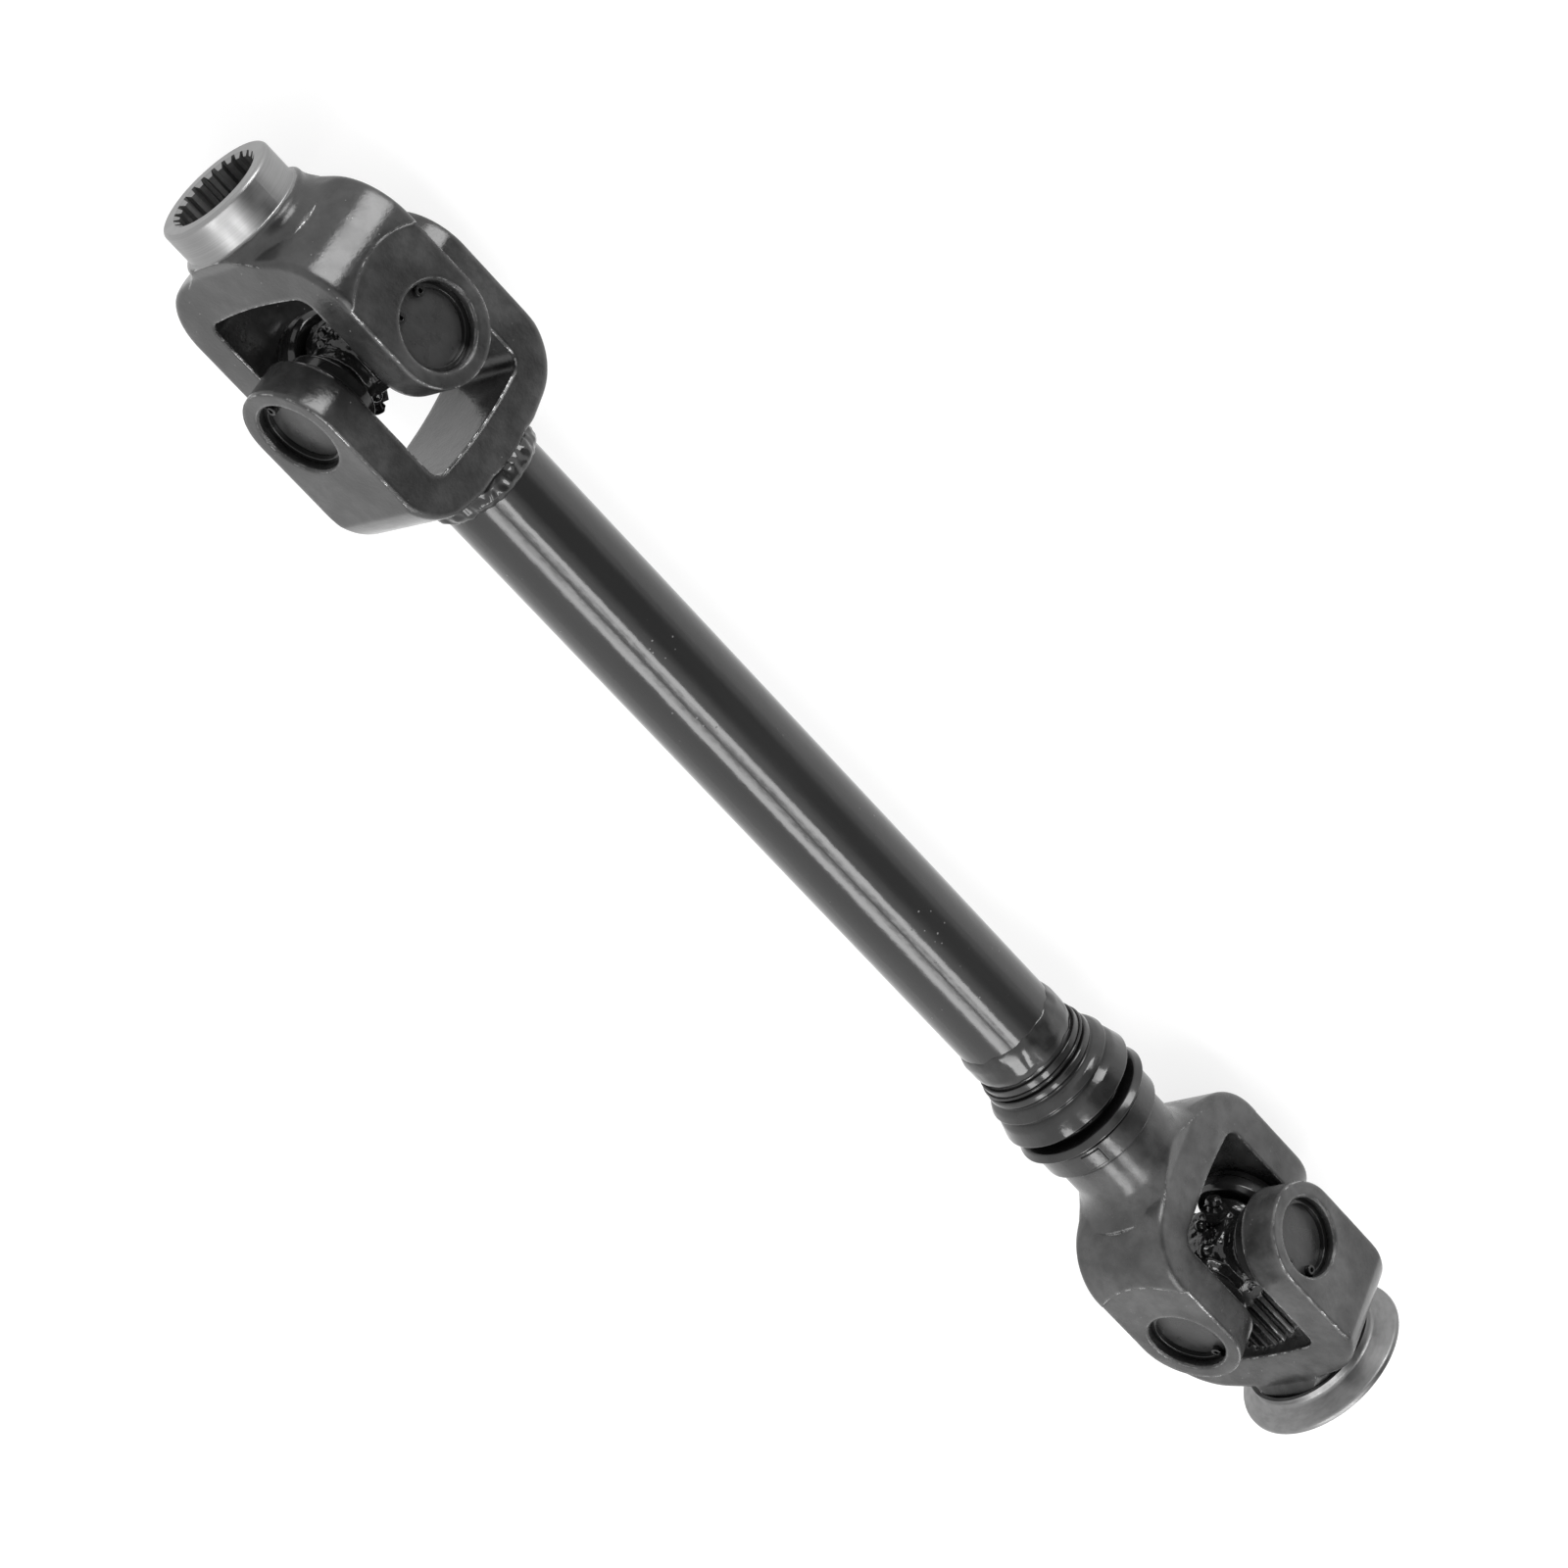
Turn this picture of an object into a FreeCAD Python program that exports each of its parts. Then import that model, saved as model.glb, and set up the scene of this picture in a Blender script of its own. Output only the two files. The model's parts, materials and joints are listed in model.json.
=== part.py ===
"""Telescoping drive shaft with a universal joint at each end.

Millimetres. +X runs from the splined sleeve of the upper yoke to the dust shield
of the lower yoke, +Z is up, and the origin is the middle of the shaft's envelope.
Each joint is drawn once in its own frame (pivot at the origin, base of the yoke
towards +X, bearing bores along Z) and then set in place.
"""
import FreeCAD
import Part

import math
import os

# --- layout along the shaft ---------------------------------------------------
HALF_LENGTH = 200.8           # origin to the sleeve mouth, and to the shield rim
UPPER_PIVOT_X = -154.0
LOWER_PIVOT_X = 158.0
UPPER_PHASE_DEG = 45.0        # upper bores stand at 45 degrees, so it lies on two ears
LOWER_PHASE_DEG = 54.0        # lower bores as set, 9 degrees round from the upper ones

# --- yokes (distances from the pivot) -----------------------------------------
EAR_FACE = 27.1               # outer ear face, spot-faced round the bore
FORGED_FACE = 27.9            # forged skin beyond the spot face
SPOT_FACE_RADIUS = 21.5       # round the outer ends' and the sleeve's bores
WIDE_SPOT_FACE_RADIUS = 40.0  # ear milled flat right across
EAR_INNER = 17.5              # inner ear face
EAR_HALF_WIDTH = 13.3
YOKE_END = 34.8               # back face of a yoke, behind which its sides spread
NECK_PLANE = 39.0             # where the sides are as wide as the neck
NECK_HALF_WIDTH = 14.5
CAP_RADIUS = 9.5
BORE_CHAMFER = 0.45
EDGE_ROUND = 1.4              # forged edges
WINDOW_CORNER = 3.5
WINDOW_ARCH = 0.9

# --- bearing -------------------------------------------------------------------
CAP_FACE = 23.5
CAP_MOUTH = 14.0
CAP_CAVITY_RADIUS = 8.02
CAP_CAVITY_END = 22.0
CAP_ROUND = 0.8
NEEDLE_RADIUS = 1.0
NEEDLE_PITCH_RADIUS = 7.0
NEEDLES_PER_CAP = 21
NEEDLE_START = 14.6
NEEDLE_LENGTH = 7.0
TRUNNION_RADIUS = 5.97
TRUNNION_END = 21.9
SHOULDER_RADIUS = 7.8
SHOULDER_END = 10.6
CROSS_BALL_RADIUS = 10.9
CROSS_HALF_THICKNESS = 8.2
RING_GROOVE_RADIUS = 10.2
RING_GROOVE_WIDTH = 1.4
RING_OUTER_RADIUS = 10.15
RING_INNER_RADIUS = 8.3
RING_THICKNESS = 1.3
RING_GAP_DEG = 56.0
RING_TURN_DEG = {"upper_outer": 0.0, "upper_inner": 0.0, "lower_outer": -65.0, "lower_inner": 50.0}
RING_EYE_RADIUS = 1.25
RING_EYE_HOLE_RADIUS = 0.55

# --- grease nipple ---------------------------------------------------------------
NIPPLE_TILT_DEG = 30.0        # away from the shaft axis, towards a gap between arms
UPPER_NIPPLE_LEAN_DEG = 180.0  # round the shaft from +Y
LOWER_NIPPLE_LEAN_DEG = -9.0
NIPPLE_START = 7.0
NIPPLE_THREAD_RADIUS = 2.4
NIPPLE_HEX_START = 10.0
NIPPLE_HEX_LENGTH = 2.2
NIPPLE_HEX_ACROSS_FLATS = 6.0

# --- splines --------------------------------------------------------------------
END_TEETH = 24
END_TIP_RADIUS = 10.0
END_ROOT_RADIUS = 11.0
END_LAND = 0.30
PILOT_RADIUS = 9.6
PILOT_LENGTH = 4.0
SLIP_TEETH = 20
SLIP_TIP_RADIUS = 8.6
SLIP_ROOT_RADIUS = 9.7
SLIP_LAND = 0.30
SLIP_GAP_LAND = 0.34          # land of the gaps in the sleeve, a little wider than the stub's teeth
SLIP_CLEARANCE = 0.06
GAP_SHARE = 0.55              # floor of a gap as a share of its width at the tooth tips
TOOL_OVERRUN = 4.0            # how far a bore's cutter runs past the hub into the window

# --- upper outer yoke -------------------------------------------------------------
SLEEVE_RADIUS = 14.15
SLEEVE_LENGTH = 8.5
SLEEVE_CHAMFER = 0.9          # rounded nose of the sleeve
COLLAR_RING_RADIUS = 15.6     # turned ring where the sleeve meets the forging
UPPER_WINDOW = 24.8

# --- tube yoke, tube and welds ----------------------------------------------------
TUBE_YOKE_WINDOW = 26.7
TUBE_YOKE_END = 36.2          # where the tube begins
TUBE_RADIUS = 12.7
TUBE_WALL = 2.0
TUBE_END_X = 75.0
PLUG_LENGTH = 9.0
WELD_RIPPLES = 18
WELD_DROP_HEIGHT = 0.25

# --- splined stub, boot and clamps --------------------------------------------------
COLLAR_RADIUS = 12.95
COLLAR_END_X = 88.6
STUB_END_X = 127.0
BOOT_START_X = 79.6
BOOT_END_X = 109.2
BOOT_WALL = 1.0
CUFF_RADIUS = 13.55           # outside of the boot's small cuff
BOOT_FOLD_RADIUS = 17.6       # the first fold; the second is a little larger
CLAMP_START_X = 102.6
CLAMP_WIDTH = 5.8
CLAMP_THICKNESS = 0.6
RING_WIRE_RADIUS = 0.35
RING_WIRE_STATIONS = (81.8, 83.6)

# --- slip yoke and lower outer yoke ---------------------------------------------------
NECK_RADIUS = 14.4
NECK_START_X = 100.6
SLIP_WINDOW = 24.2
LOWER_WINDOW = 24.0
HUB_RADIUS = 16.2
HUB_END_X = 200.2
COUNTERBORE_RADIUS = 11.5
SHIELD_START_X = 194.3
SHIELD_TUBE_RADIUS = 17.3
SHIELD_RIM_RADIUS = 22.4
SHIELD_WALL = 1.0

X = FreeCAD.Vector(1, 0, 0)
Y = FreeCAD.Vector(0, 1, 0)
Z = FreeCAD.Vector(0, 0, 1)
ORIGIN = FreeCAD.Vector(0, 0, 0)


def vec(x, y, z):
    return FreeCAD.Vector(x, y, z)


def outline(corners):
    """Flat face in XZ through (a, b) corners; a third number is the radius that rounds a corner."""
    places = [vec(corner[0], 0, corner[1]) for corner in corners]
    marks = []
    for index, corner in enumerate(corners):
        here = places[index]
        if len(corner) == 2:
            marks.append((here, None, here))
            continue
        back = (places[index - 1] - here).normalize()
        ahead = (places[(index + 1) % len(places)] - here).normalize()
        half = back.getAngle(ahead) / 2
        inward = (back + ahead).normalize()
        middle = here + inward * (corner[2] / math.sin(half) - corner[2])
        setback = corner[2] / math.tan(half)
        marks.append((here + back * setback, middle, here + ahead * setback))
    edges = []
    for index, (entry, middle, leave) in enumerate(marks):
        if middle is not None:
            edges.append(Part.Arc(entry, middle, leave).toShape())
        following = marks[(index + 1) % len(marks)][0]
        if (following - leave).Length > 1e-6:
            edges.append(Part.makeLine(leave, following))
    return Part.Face(Part.Wire(edges))


def revolve_x(corners):
    """Solid of revolution about X from (x, radius) corners."""
    return outline(corners).revolve(ORIGIN, X, 360)


def revolve_z(corners):
    """Solid of revolution about Z from (radius, z) corners."""
    return outline(corners).revolve(ORIGIN, Z, 360)


def turned_x(radius, start, end):
    return Part.makeCylinder(radius, end - start, vec(start, 0, 0), X)


def both_ends(solid):
    """The solid and its copy turned half round the shaft axis."""
    other = solid.copy()
    other.rotate(ORIGIN, X, 180)
    return [solid, other]


def place(shape, pivot_x, phase_deg, base_towards_plus_x):
    """Moves a shape from the joint frame to the shaft frame."""
    placed = shape.copy()
    if not base_towards_plus_x:
        placed.rotate(ORIGIN, Z, 180)
    placed.rotate(ORIGIN, X, -phase_deg)
    placed.translate(vec(pivot_x, 0, 0))
    return placed


# --- splines --------------------------------------------------------------------
def spline_prism(teeth, inner, outer, land, start, end):
    """Toothed bar along X. The land is the share of a pitch that a tooth fills at its outer radius."""
    foot = 1 - GAP_SHARE * (1 - land)
    corners = []
    for tooth in range(teeth):
        for radius, share in ((inner, -foot), (outer, -land), (outer, land), (inner, foot)):
            angle = 2 * math.pi * (tooth + share / 2) / teeth
            corners.append(vec(start, radius * math.cos(angle), radius * math.sin(angle)))
    face = Part.Face(Part.makePolygon(corners + corners[:1]))
    return face.extrude(vec(end - start, 0, 0))


# --- yokes ----------------------------------------------------------------------
def shoulder_curve(stretch):
    """Outer line of a yoke from the ear face to the base, as (x, z) points."""
    return [(18.5, FORGED_FACE), (23.8 + stretch, 27.0), (28.2 + stretch, 24.6),
            (31.4 + stretch, 21.2), (33.6 + stretch, 17.0), (YOKE_END + stretch, 12.6)]


def yoke_blank(stretch):
    """Solid U before the window: the shoulder profile swept across the width."""
    width = EAR_HALF_WIDTH
    line = [vec(x, -width, z) for x, z in shoulder_curve(stretch)]
    curve = Part.BSplineCurve()
    curve.interpolate(line, InitialTangent=X, FinalTangent=vec(0.25, 0, -1))
    mirrored = Part.BSplineCurve()
    mirrored.interpolate([vec(p.x, p.y, -p.z) for p in line],
                         InitialTangent=X, FinalTangent=vec(0.25, 0, 1))
    tip = -width - 1
    edges = [
        Part.makeLine(vec(tip, -width, FORGED_FACE), line[0]),
        curve.toShape(),
        Part.makeLine(line[-1], vec(line[-1].x, -width, -line[-1].z)),
        mirrored.toShape(),
        Part.makeLine(vec(line[0].x, -width, -FORGED_FACE), vec(tip, -width, -FORGED_FACE)),
        Part.makeLine(vec(tip, -width, -FORGED_FACE), vec(tip, -width, FORGED_FACE)),
    ]
    face = Part.Face(Part.Wire(Part.__sortEdges__(edges)))
    return face.extrude(vec(0, 2 * width, 0))


def ear_plan():
    """Plan of the ears seen along the bore: half round at the tip, straight to the base."""
    height = 2 * FORGED_FACE + 2
    tip = Part.makeCylinder(EAR_HALF_WIDTH, height, vec(0, 0, -height / 2), Z)
    body = Part.makeBox(60, 2 * EAR_HALF_WIDTH, height, vec(0, -EAR_HALF_WIDTH, -height / 2))
    return tip.fuse(body).removeSplitter()


def flare(stretch, half_width, corners):
    """Fillet from the base into the neck: a turned shape between sides that spread to half_width."""
    back = YOKE_END + stretch
    far = NECK_PLANE + 30
    sides = [vec(0, EAR_HALF_WIDTH, -40), vec(back, EAR_HALF_WIDTH, -40),
             vec(NECK_PLANE, half_width, -40), vec(far, half_width, -40),
             vec(far, -half_width, -40), vec(NECK_PLANE, -half_width, -40),
             vec(back, -EAR_HALF_WIDTH, -40), vec(0, -EAR_HALF_WIDTH, -40)]
    slab = Part.Face(Part.makePolygon(sides + sides[:1])).extrude(vec(0, 0, 80))
    return revolve_x(corners).common(slab)


def window(base_x):
    """Space between the ears, with an arched base and rounded corners."""
    z = EAR_INNER
    r = WINDOW_CORNER
    top = base_x - WINDOW_ARCH
    quarter = r * (1 - math.cos(math.radians(45)))
    start = -EAR_HALF_WIDTH - 2
    edges = [
        Part.makeLine(vec(start, 0, -z), vec(start, 0, z)),
        Part.makeLine(vec(start, 0, z), vec(top - r, 0, z)),
        Part.Arc(vec(top - r, 0, z), vec(top - quarter, 0, z - quarter), vec(top, 0, z - r)).toShape(),
        Part.Arc(vec(top, 0, z - r), vec(base_x, 0, 0), vec(top, 0, r - z)).toShape(),
        Part.Arc(vec(top, 0, r - z), vec(top - quarter, 0, quarter - z), vec(top - r, 0, -z)).toShape(),
        Part.makeLine(vec(top - r, 0, -z), vec(start, 0, -z)),
    ]
    face = Part.Face(Part.Wire(Part.__sortEdges__(edges)))
    cut = face.extrude(vec(0, 4 * EAR_HALF_WIDTH, 0))
    cut.translate(vec(0, -2 * EAR_HALF_WIDTH, 0))
    return cut


def soften(solid, size):
    """Breaks the long outer edges of a U, where the ears meet their sides."""
    picked = []
    for edge in solid.Edges:
        box = edge.BoundBox
        flat_y = box.YLength < 0.01 and abs(abs(box.Center.y) - EAR_HALF_WIDTH) < 0.01
        tip = box.ZLength < 0.01 and box.YLength > EAR_HALF_WIDTH
        if (flat_y or tip) and edge.Length > 6:
            picked.append(edge)
    return solid.makeFillet(size, picked)


def bearing_bore():
    """Cutter for one ear: bore, outer chamfer and snap-ring groove."""
    chamfer = BORE_CHAMFER
    groove = CAP_FACE
    return revolve_z([
        (0, EAR_INNER - 3), (CAP_RADIUS, EAR_INNER - 3), (CAP_RADIUS, groove),
        (RING_GROOVE_RADIUS, groove), (RING_GROOVE_RADIUS, groove + RING_GROOVE_WIDTH),
        (CAP_RADIUS, groove + RING_GROOVE_WIDTH), (CAP_RADIUS, EAR_FACE - chamfer),
        (CAP_RADIUS + 2 * chamfer, EAR_FACE + chamfer), (0, EAR_FACE + chamfer)])


def spot_face(radius):
    """Cutter that faces one ear flat round its bore."""
    return Part.makeCylinder(radius, 10, vec(0, 0, EAR_FACE), Z)


def yoke(base_x, stretch, face_radius):
    """U-shaped yoke with both bearing bores, without its hub."""
    envelope = revolve_x([
        (-20, 0), (-20, 40), (16, 40), (25.5 + stretch, 30.8, 12), (32.6 + stretch, 23.2, 12),
        (YOKE_END + stretch, 16.0, 4), (YOKE_END + stretch, 0)])
    solid = yoke_blank(stretch).common(ear_plan()).common(envelope)
    solid = soften(solid.removeSplitter(), EDGE_ROUND)
    solid = solid.cut(window(base_x))
    for cutter in both_ends(spot_face(face_radius)) + both_ends(bearing_bore()):
        solid = solid.cut(cutter)
    return solid


# --- bearing pieces ---------------------------------------------------------------
def bearing_cap():
    """Closed drawn cup that holds the needle rollers."""
    return revolve_z([
        (CAP_CAVITY_RADIUS, CAP_MOUTH), (CAP_RADIUS, CAP_MOUTH), (CAP_RADIUS, CAP_FACE, CAP_ROUND),
        (0, CAP_FACE), (0, CAP_CAVITY_END), (CAP_CAVITY_RADIUS, CAP_CAVITY_END, 0.4)])


def needles():
    """Full row of needle rollers in one cap."""
    rollers = []
    for index in range(NEEDLES_PER_CAP):
        foot = vec(NEEDLE_PITCH_RADIUS, 0, NEEDLE_START)
        roller = Part.makeCylinder(NEEDLE_RADIUS, NEEDLE_LENGTH, foot, Z)
        roller.rotate(ORIGIN, Z, 360 * index / NEEDLES_PER_CAP)
        rollers.append(roller)
    return rollers


def seal():
    """Rubber seal that wraps the mouth of a cap and wipes the trunnion."""
    mouth = CAP_MOUTH - 0.05
    return revolve_z([
        (TRUNNION_RADIUS + 0.1, 11.7), (9.3, 11.7, 0.9), (10.3, 12.9, 0.8), (10.3, 15.8, 0.5),
        (CAP_RADIUS + 0.03, 15.8), (CAP_RADIUS + 0.03, mouth),
        (TRUNNION_RADIUS + 0.1, mouth)])


def snap_ring(turn_deg):
    """Open ring with two plier eyes, seated in its groove above the cap, its gap turned from the base."""
    bottom = CAP_FACE + 0.05
    ring = Part.makeCylinder(RING_OUTER_RADIUS, RING_THICKNESS, vec(0, 0, bottom), Z)
    ring = ring.cut(Part.makeCylinder(RING_INNER_RADIUS, RING_THICKNESS, vec(0, 0, bottom), Z))
    half = math.radians(RING_GAP_DEG / 2)
    reach = 2 * RING_OUTER_RADIUS
    wedge = [vec(0, 0, bottom), vec(reach * math.cos(half), reach * math.sin(half), bottom),
             vec(reach * math.cos(half), -reach * math.sin(half), bottom)]
    gap = Part.Face(Part.makePolygon(wedge + wedge[:1])).extrude(vec(0, 0, RING_THICKNESS))
    ring = ring.cut(gap)
    for side in (1, -1):
        angle = side * (half + 0.04)
        centre = vec(7.9 * math.cos(angle), 7.9 * math.sin(angle), bottom)
        ring = ring.fuse(Part.makeCylinder(RING_EYE_RADIUS, RING_THICKNESS, centre, Z))
        ring = ring.cut(Part.makeCylinder(RING_EYE_HOLE_RADIUS, RING_THICKNESS, centre, Z))
    ring = ring.removeSplitter()
    ring.rotate(ORIGIN, Z, turn_deg)
    return ring


def cross():
    """Spider: ball body, four shoulders and four trunnions."""
    slab = Part.makeBox(2 * CROSS_HALF_THICKNESS, 60, 60, vec(-CROSS_HALF_THICKNESS, -30, -30))
    body = Part.makeSphere(CROSS_BALL_RADIUS).common(slab)
    arm = revolve_z([
        (0, 0), (SHOULDER_RADIUS, 0), (SHOULDER_RADIUS, SHOULDER_END, 0.8),
        (TRUNNION_RADIUS, SHOULDER_END + 0.4, 0.3), (TRUNNION_RADIUS, TRUNNION_END, 0.5),
        (0, TRUNNION_END)])
    for turn in range(4):
        one = arm.copy()
        one.rotate(ORIGIN, X, 90 * turn)
        body = body.fuse(one)
    return body.removeSplitter()


def grease_nipple(pivot_x, towards_plus_x, lean_deg):
    """Nipple on a cross, tilted off the shaft axis towards lean_deg round from +Y."""
    thread_length = NIPPLE_HEX_START - NIPPLE_START
    thread = Part.makeCylinder(NIPPLE_THREAD_RADIUS, thread_length, vec(0, 0, NIPPLE_START), Z)
    corner = NIPPLE_HEX_ACROSS_FLATS / math.sqrt(3)
    corners = []
    for turn in range(7):
        angle = math.radians(60 * turn)
        corners.append(vec(corner * math.cos(angle), corner * math.sin(angle), NIPPLE_HEX_START))
    hexagon = Part.Face(Part.makePolygon(corners)).extrude(vec(0, 0, NIPPLE_HEX_LENGTH))
    z = NIPPLE_HEX_START + NIPPLE_HEX_LENGTH
    head = revolve_z([(0, z), (2.0, z), (1.5, z + 0.9), (2.05, z + 1.9), (1.7, z + 2.9), (0.9, z + 3.4),
                      (0, z + 3.4)])
    nipple = thread.fuse(hexagon).fuse(head).removeSplitter()
    nipple.rotate(ORIGIN, Y, 90)
    nipple.rotate(ORIGIN, Z, NIPPLE_TILT_DEG)
    if not towards_plus_x:
        nipple.rotate(ORIGIN, Y, 180)
    nipple.rotate(ORIGIN, X, lean_deg)
    nipple.translate(vec(pivot_x, 0, 0))
    return nipple


# --- end yokes -----------------------------------------------------------------------
def end_splines(start, end):
    """Cutter for the teeth in the bore of an end yoke."""
    return spline_prism(END_TEETH, END_TIP_RADIUS - 0.1, END_ROOT_RADIUS, END_LAND, start, end)


def upper_outer_yoke():
    """Yoke with the short splined sleeve."""
    mouth = HALF_LENGTH + UPPER_PIVOT_X
    sleeve_base = mouth - SLEEVE_LENGTH
    hub = flare(0.4, NECK_HALF_WIDTH, [
        (UPPER_WINDOW - 1.5, 0), (UPPER_WINDOW - 1.5, 9), (31.0, 18.6), (33.6, 18.6),
        (36.0, COLLAR_RING_RADIUS, 2.2), (sleeve_base - 0.7, COLLAR_RING_RADIUS, 0.8),
        (sleeve_base, SLEEVE_RADIUS, 0.3), (mouth, SLEEVE_RADIUS, SLEEVE_CHAMFER), (mouth, 0)])
    solid = yoke(UPPER_WINDOW, 0.4, SPOT_FACE_RADIUS).fuse(hub).removeSplitter()
    solid = solid.cut(window(UPPER_WINDOW))
    pilot_end = UPPER_WINDOW + PILOT_LENGTH
    solid = solid.cut(turned_x(PILOT_RADIUS, UPPER_WINDOW - TOOL_OVERRUN, pilot_end))
    solid = solid.cut(turned_x(END_TIP_RADIUS, pilot_end, mouth + 1))
    solid = solid.cut(end_splines(pilot_end, mouth + 1))
    return solid.cut(revolve_x([(mouth - 0.8, 0), (mouth - 0.8, END_TIP_RADIUS),
                                (mouth + 0.2, END_ROOT_RADIUS + 0.3), (mouth + 0.2, 0)]))


def lower_outer_yoke():
    """Yoke with the splined hub that carries the dust shield."""
    hub_end = HUB_END_X - LOWER_PIVOT_X
    hub = flare(0.0, HUB_RADIUS + 0.1, [
        (LOWER_WINDOW - 1.5, 0), (LOWER_WINDOW - 1.5, 9), (29.5, 15.0), (34.2, HUB_RADIUS, 3),
        (hub_end, HUB_RADIUS, 0.6), (hub_end, 0)])
    solid = yoke(LOWER_WINDOW, 0.0, WIDE_SPOT_FACE_RADIUS).fuse(hub).removeSplitter()
    solid = solid.cut(window(LOWER_WINDOW))
    counterbore = hub_end - PILOT_LENGTH
    solid = solid.cut(turned_x(END_TIP_RADIUS, LOWER_WINDOW - TOOL_OVERRUN, hub_end + 1))
    solid = solid.cut(end_splines(LOWER_WINDOW - TOOL_OVERRUN, hub_end))
    return solid.cut(turned_x(COUNTERBORE_RADIUS, counterbore, hub_end + 1))


def dust_shield():
    """Pressed cup: short tube on the hub, flare and turned rim."""
    rim = HALF_LENGTH
    wall = SHIELD_WALL
    return revolve_x([
        (SHIELD_START_X, SHIELD_TUBE_RADIUS - wall), (SHIELD_START_X, SHIELD_TUBE_RADIUS),
        (196.2, SHIELD_TUBE_RADIUS, 1.2), (199.5, SHIELD_RIM_RADIUS, 0.9),
        (rim, SHIELD_RIM_RADIUS, 0.3), (rim, SHIELD_RIM_RADIUS - wall),
        (200.1, SHIELD_RIM_RADIUS - wall, 0.5), (196.8, SHIELD_TUBE_RADIUS - wall, 1.6)])


# --- shaft ---------------------------------------------------------------------------
def tube_yoke():
    """Yoke with a plug that is welded into the tube."""
    plug = turned_x(TUBE_RADIUS - TUBE_WALL, TUBE_YOKE_WINDOW + 2, TUBE_YOKE_END + PLUG_LENGTH)
    hub = flare(1.2, NECK_HALF_WIDTH, [
        (TUBE_YOKE_WINDOW + 1.5, 0), (TUBE_YOKE_WINDOW + 1.5, 12), (33.7, 15.4), (35.4, 14.9, 1.2),
        (TUBE_YOKE_END, 13.2), (TUBE_YOKE_END, 0)])
    return yoke(TUBE_YOKE_WINDOW, 1.2, WIDE_SPOT_FACE_RADIUS).fuse(hub).fuse(plug).removeSplitter()


def weld_bead(start, end, root, crown):
    """Rippled bead around the tube: a low ring with a row of overlapping drops on it."""
    middle = (start + end) / 2
    quarter = (end - start) / 4
    drop_radius = 1.9 * quarter
    ring = revolve_x([(start, root), (start + quarter, crown), (end - quarter, crown), (end, root)])
    for index in range(WELD_RIPPLES):
        angle = 2 * math.pi * index / WELD_RIPPLES
        reach = crown + WELD_DROP_HEIGHT - drop_radius
        drop = Part.makeSphere(drop_radius, vec(middle, reach * math.cos(angle), reach * math.sin(angle)))
        ring = ring.fuse(drop)
    return ring.cut(turned_x(root, start - drop_radius, end + drop_radius))


def tube():
    start = UPPER_PIVOT_X + TUBE_YOKE_END
    outer = turned_x(TUBE_RADIUS, start, TUBE_END_X)
    return outer.cut(turned_x(TUBE_RADIUS - TUBE_WALL, start, TUBE_END_X))


def splined_stub():
    """Plug in the tube, collar for the boot, and the male spline."""
    body = revolve_x([
        (TUBE_END_X - PLUG_LENGTH, 0), (TUBE_END_X - PLUG_LENGTH, TUBE_RADIUS - TUBE_WALL),
        (TUBE_END_X, TUBE_RADIUS - TUBE_WALL), (TUBE_END_X, COLLAR_RADIUS),
        (COLLAR_END_X - 1, COLLAR_RADIUS),
        (COLLAR_END_X, COLLAR_RADIUS - 1), (COLLAR_END_X, SLIP_TIP_RADIUS - SLIP_CLEARANCE),
        (STUB_END_X - 1, SLIP_TIP_RADIUS - SLIP_CLEARANCE), (STUB_END_X, 7.4), (STUB_END_X, 0)])
    teeth = spline_prism(SLIP_TEETH, SLIP_TIP_RADIUS - SLIP_CLEARANCE, SLIP_ROOT_RADIUS - SLIP_CLEARANCE,
                         SLIP_LAND, COLLAR_END_X, STUB_END_X - 1.5)
    return body.fuse(teeth).removeSplitter()


def bellows_boot():
    """Two folds of thin rubber between the stub's collar and the slip yoke's neck."""
    outside = [
        (BOOT_START_X, CUFF_RADIUS, 0.3), (84.4, CUFF_RADIUS, 0.6), (85.2, 14.3, 0.4), (87.6, 14.2, 2.0),
        (91.6, BOOT_FOLD_RADIUS, 1.6),
        (94.7, BOOT_FOLD_RADIUS, 1.5), (96.3, 15.0, 0.7), (98.3, BOOT_FOLD_RADIUS + 0.3, 1.4),
        (101.5, BOOT_FOLD_RADIUS + 0.3, 1.4), (101.9, NECK_RADIUS + BOOT_WALL),
        (BOOT_END_X, NECK_RADIUS + BOOT_WALL, 0.3)]
    inside = [
        (BOOT_START_X, COLLAR_RADIUS + 0.02), (88.0, COLLAR_RADIUS + 0.02, 2.0),
        (92.2, BOOT_FOLD_RADIUS - BOOT_WALL, 0.8), (94.1, BOOT_FOLD_RADIUS - BOOT_WALL, 0.7),
        (96.3, 13.9, 1.0), (98.8, BOOT_FOLD_RADIUS + 0.3 - BOOT_WALL, 0.6),
        (100.5, BOOT_FOLD_RADIUS + 0.3 - BOOT_WALL, 0.5), (100.9, NECK_RADIUS + 0.02),
        (BOOT_END_X, NECK_RADIUS + 0.02)]
    return revolve_x(outside + inside[::-1])


def boot_clamp():
    """Flat band with a crimped ear and its overlapped tail."""
    inner = NECK_RADIUS + BOOT_WALL + 0.02
    outer = inner + CLAMP_THICKNESS
    end = CLAMP_START_X + CLAMP_WIDTH
    band = turned_x(outer, CLAMP_START_X, end).cut(turned_x(inner, CLAMP_START_X, end))
    tail = Part.makeBox(CLAMP_WIDTH - 1.6, 5.0, 1.0, vec(CLAMP_START_X + 0.8, -2.5, outer - 0.55))
    tail = tail.common(turned_x(outer + 0.35, CLAMP_START_X, end))
    tail.rotate(ORIGIN, X, 10)
    return band.fuse(tail).removeSplitter()


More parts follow.
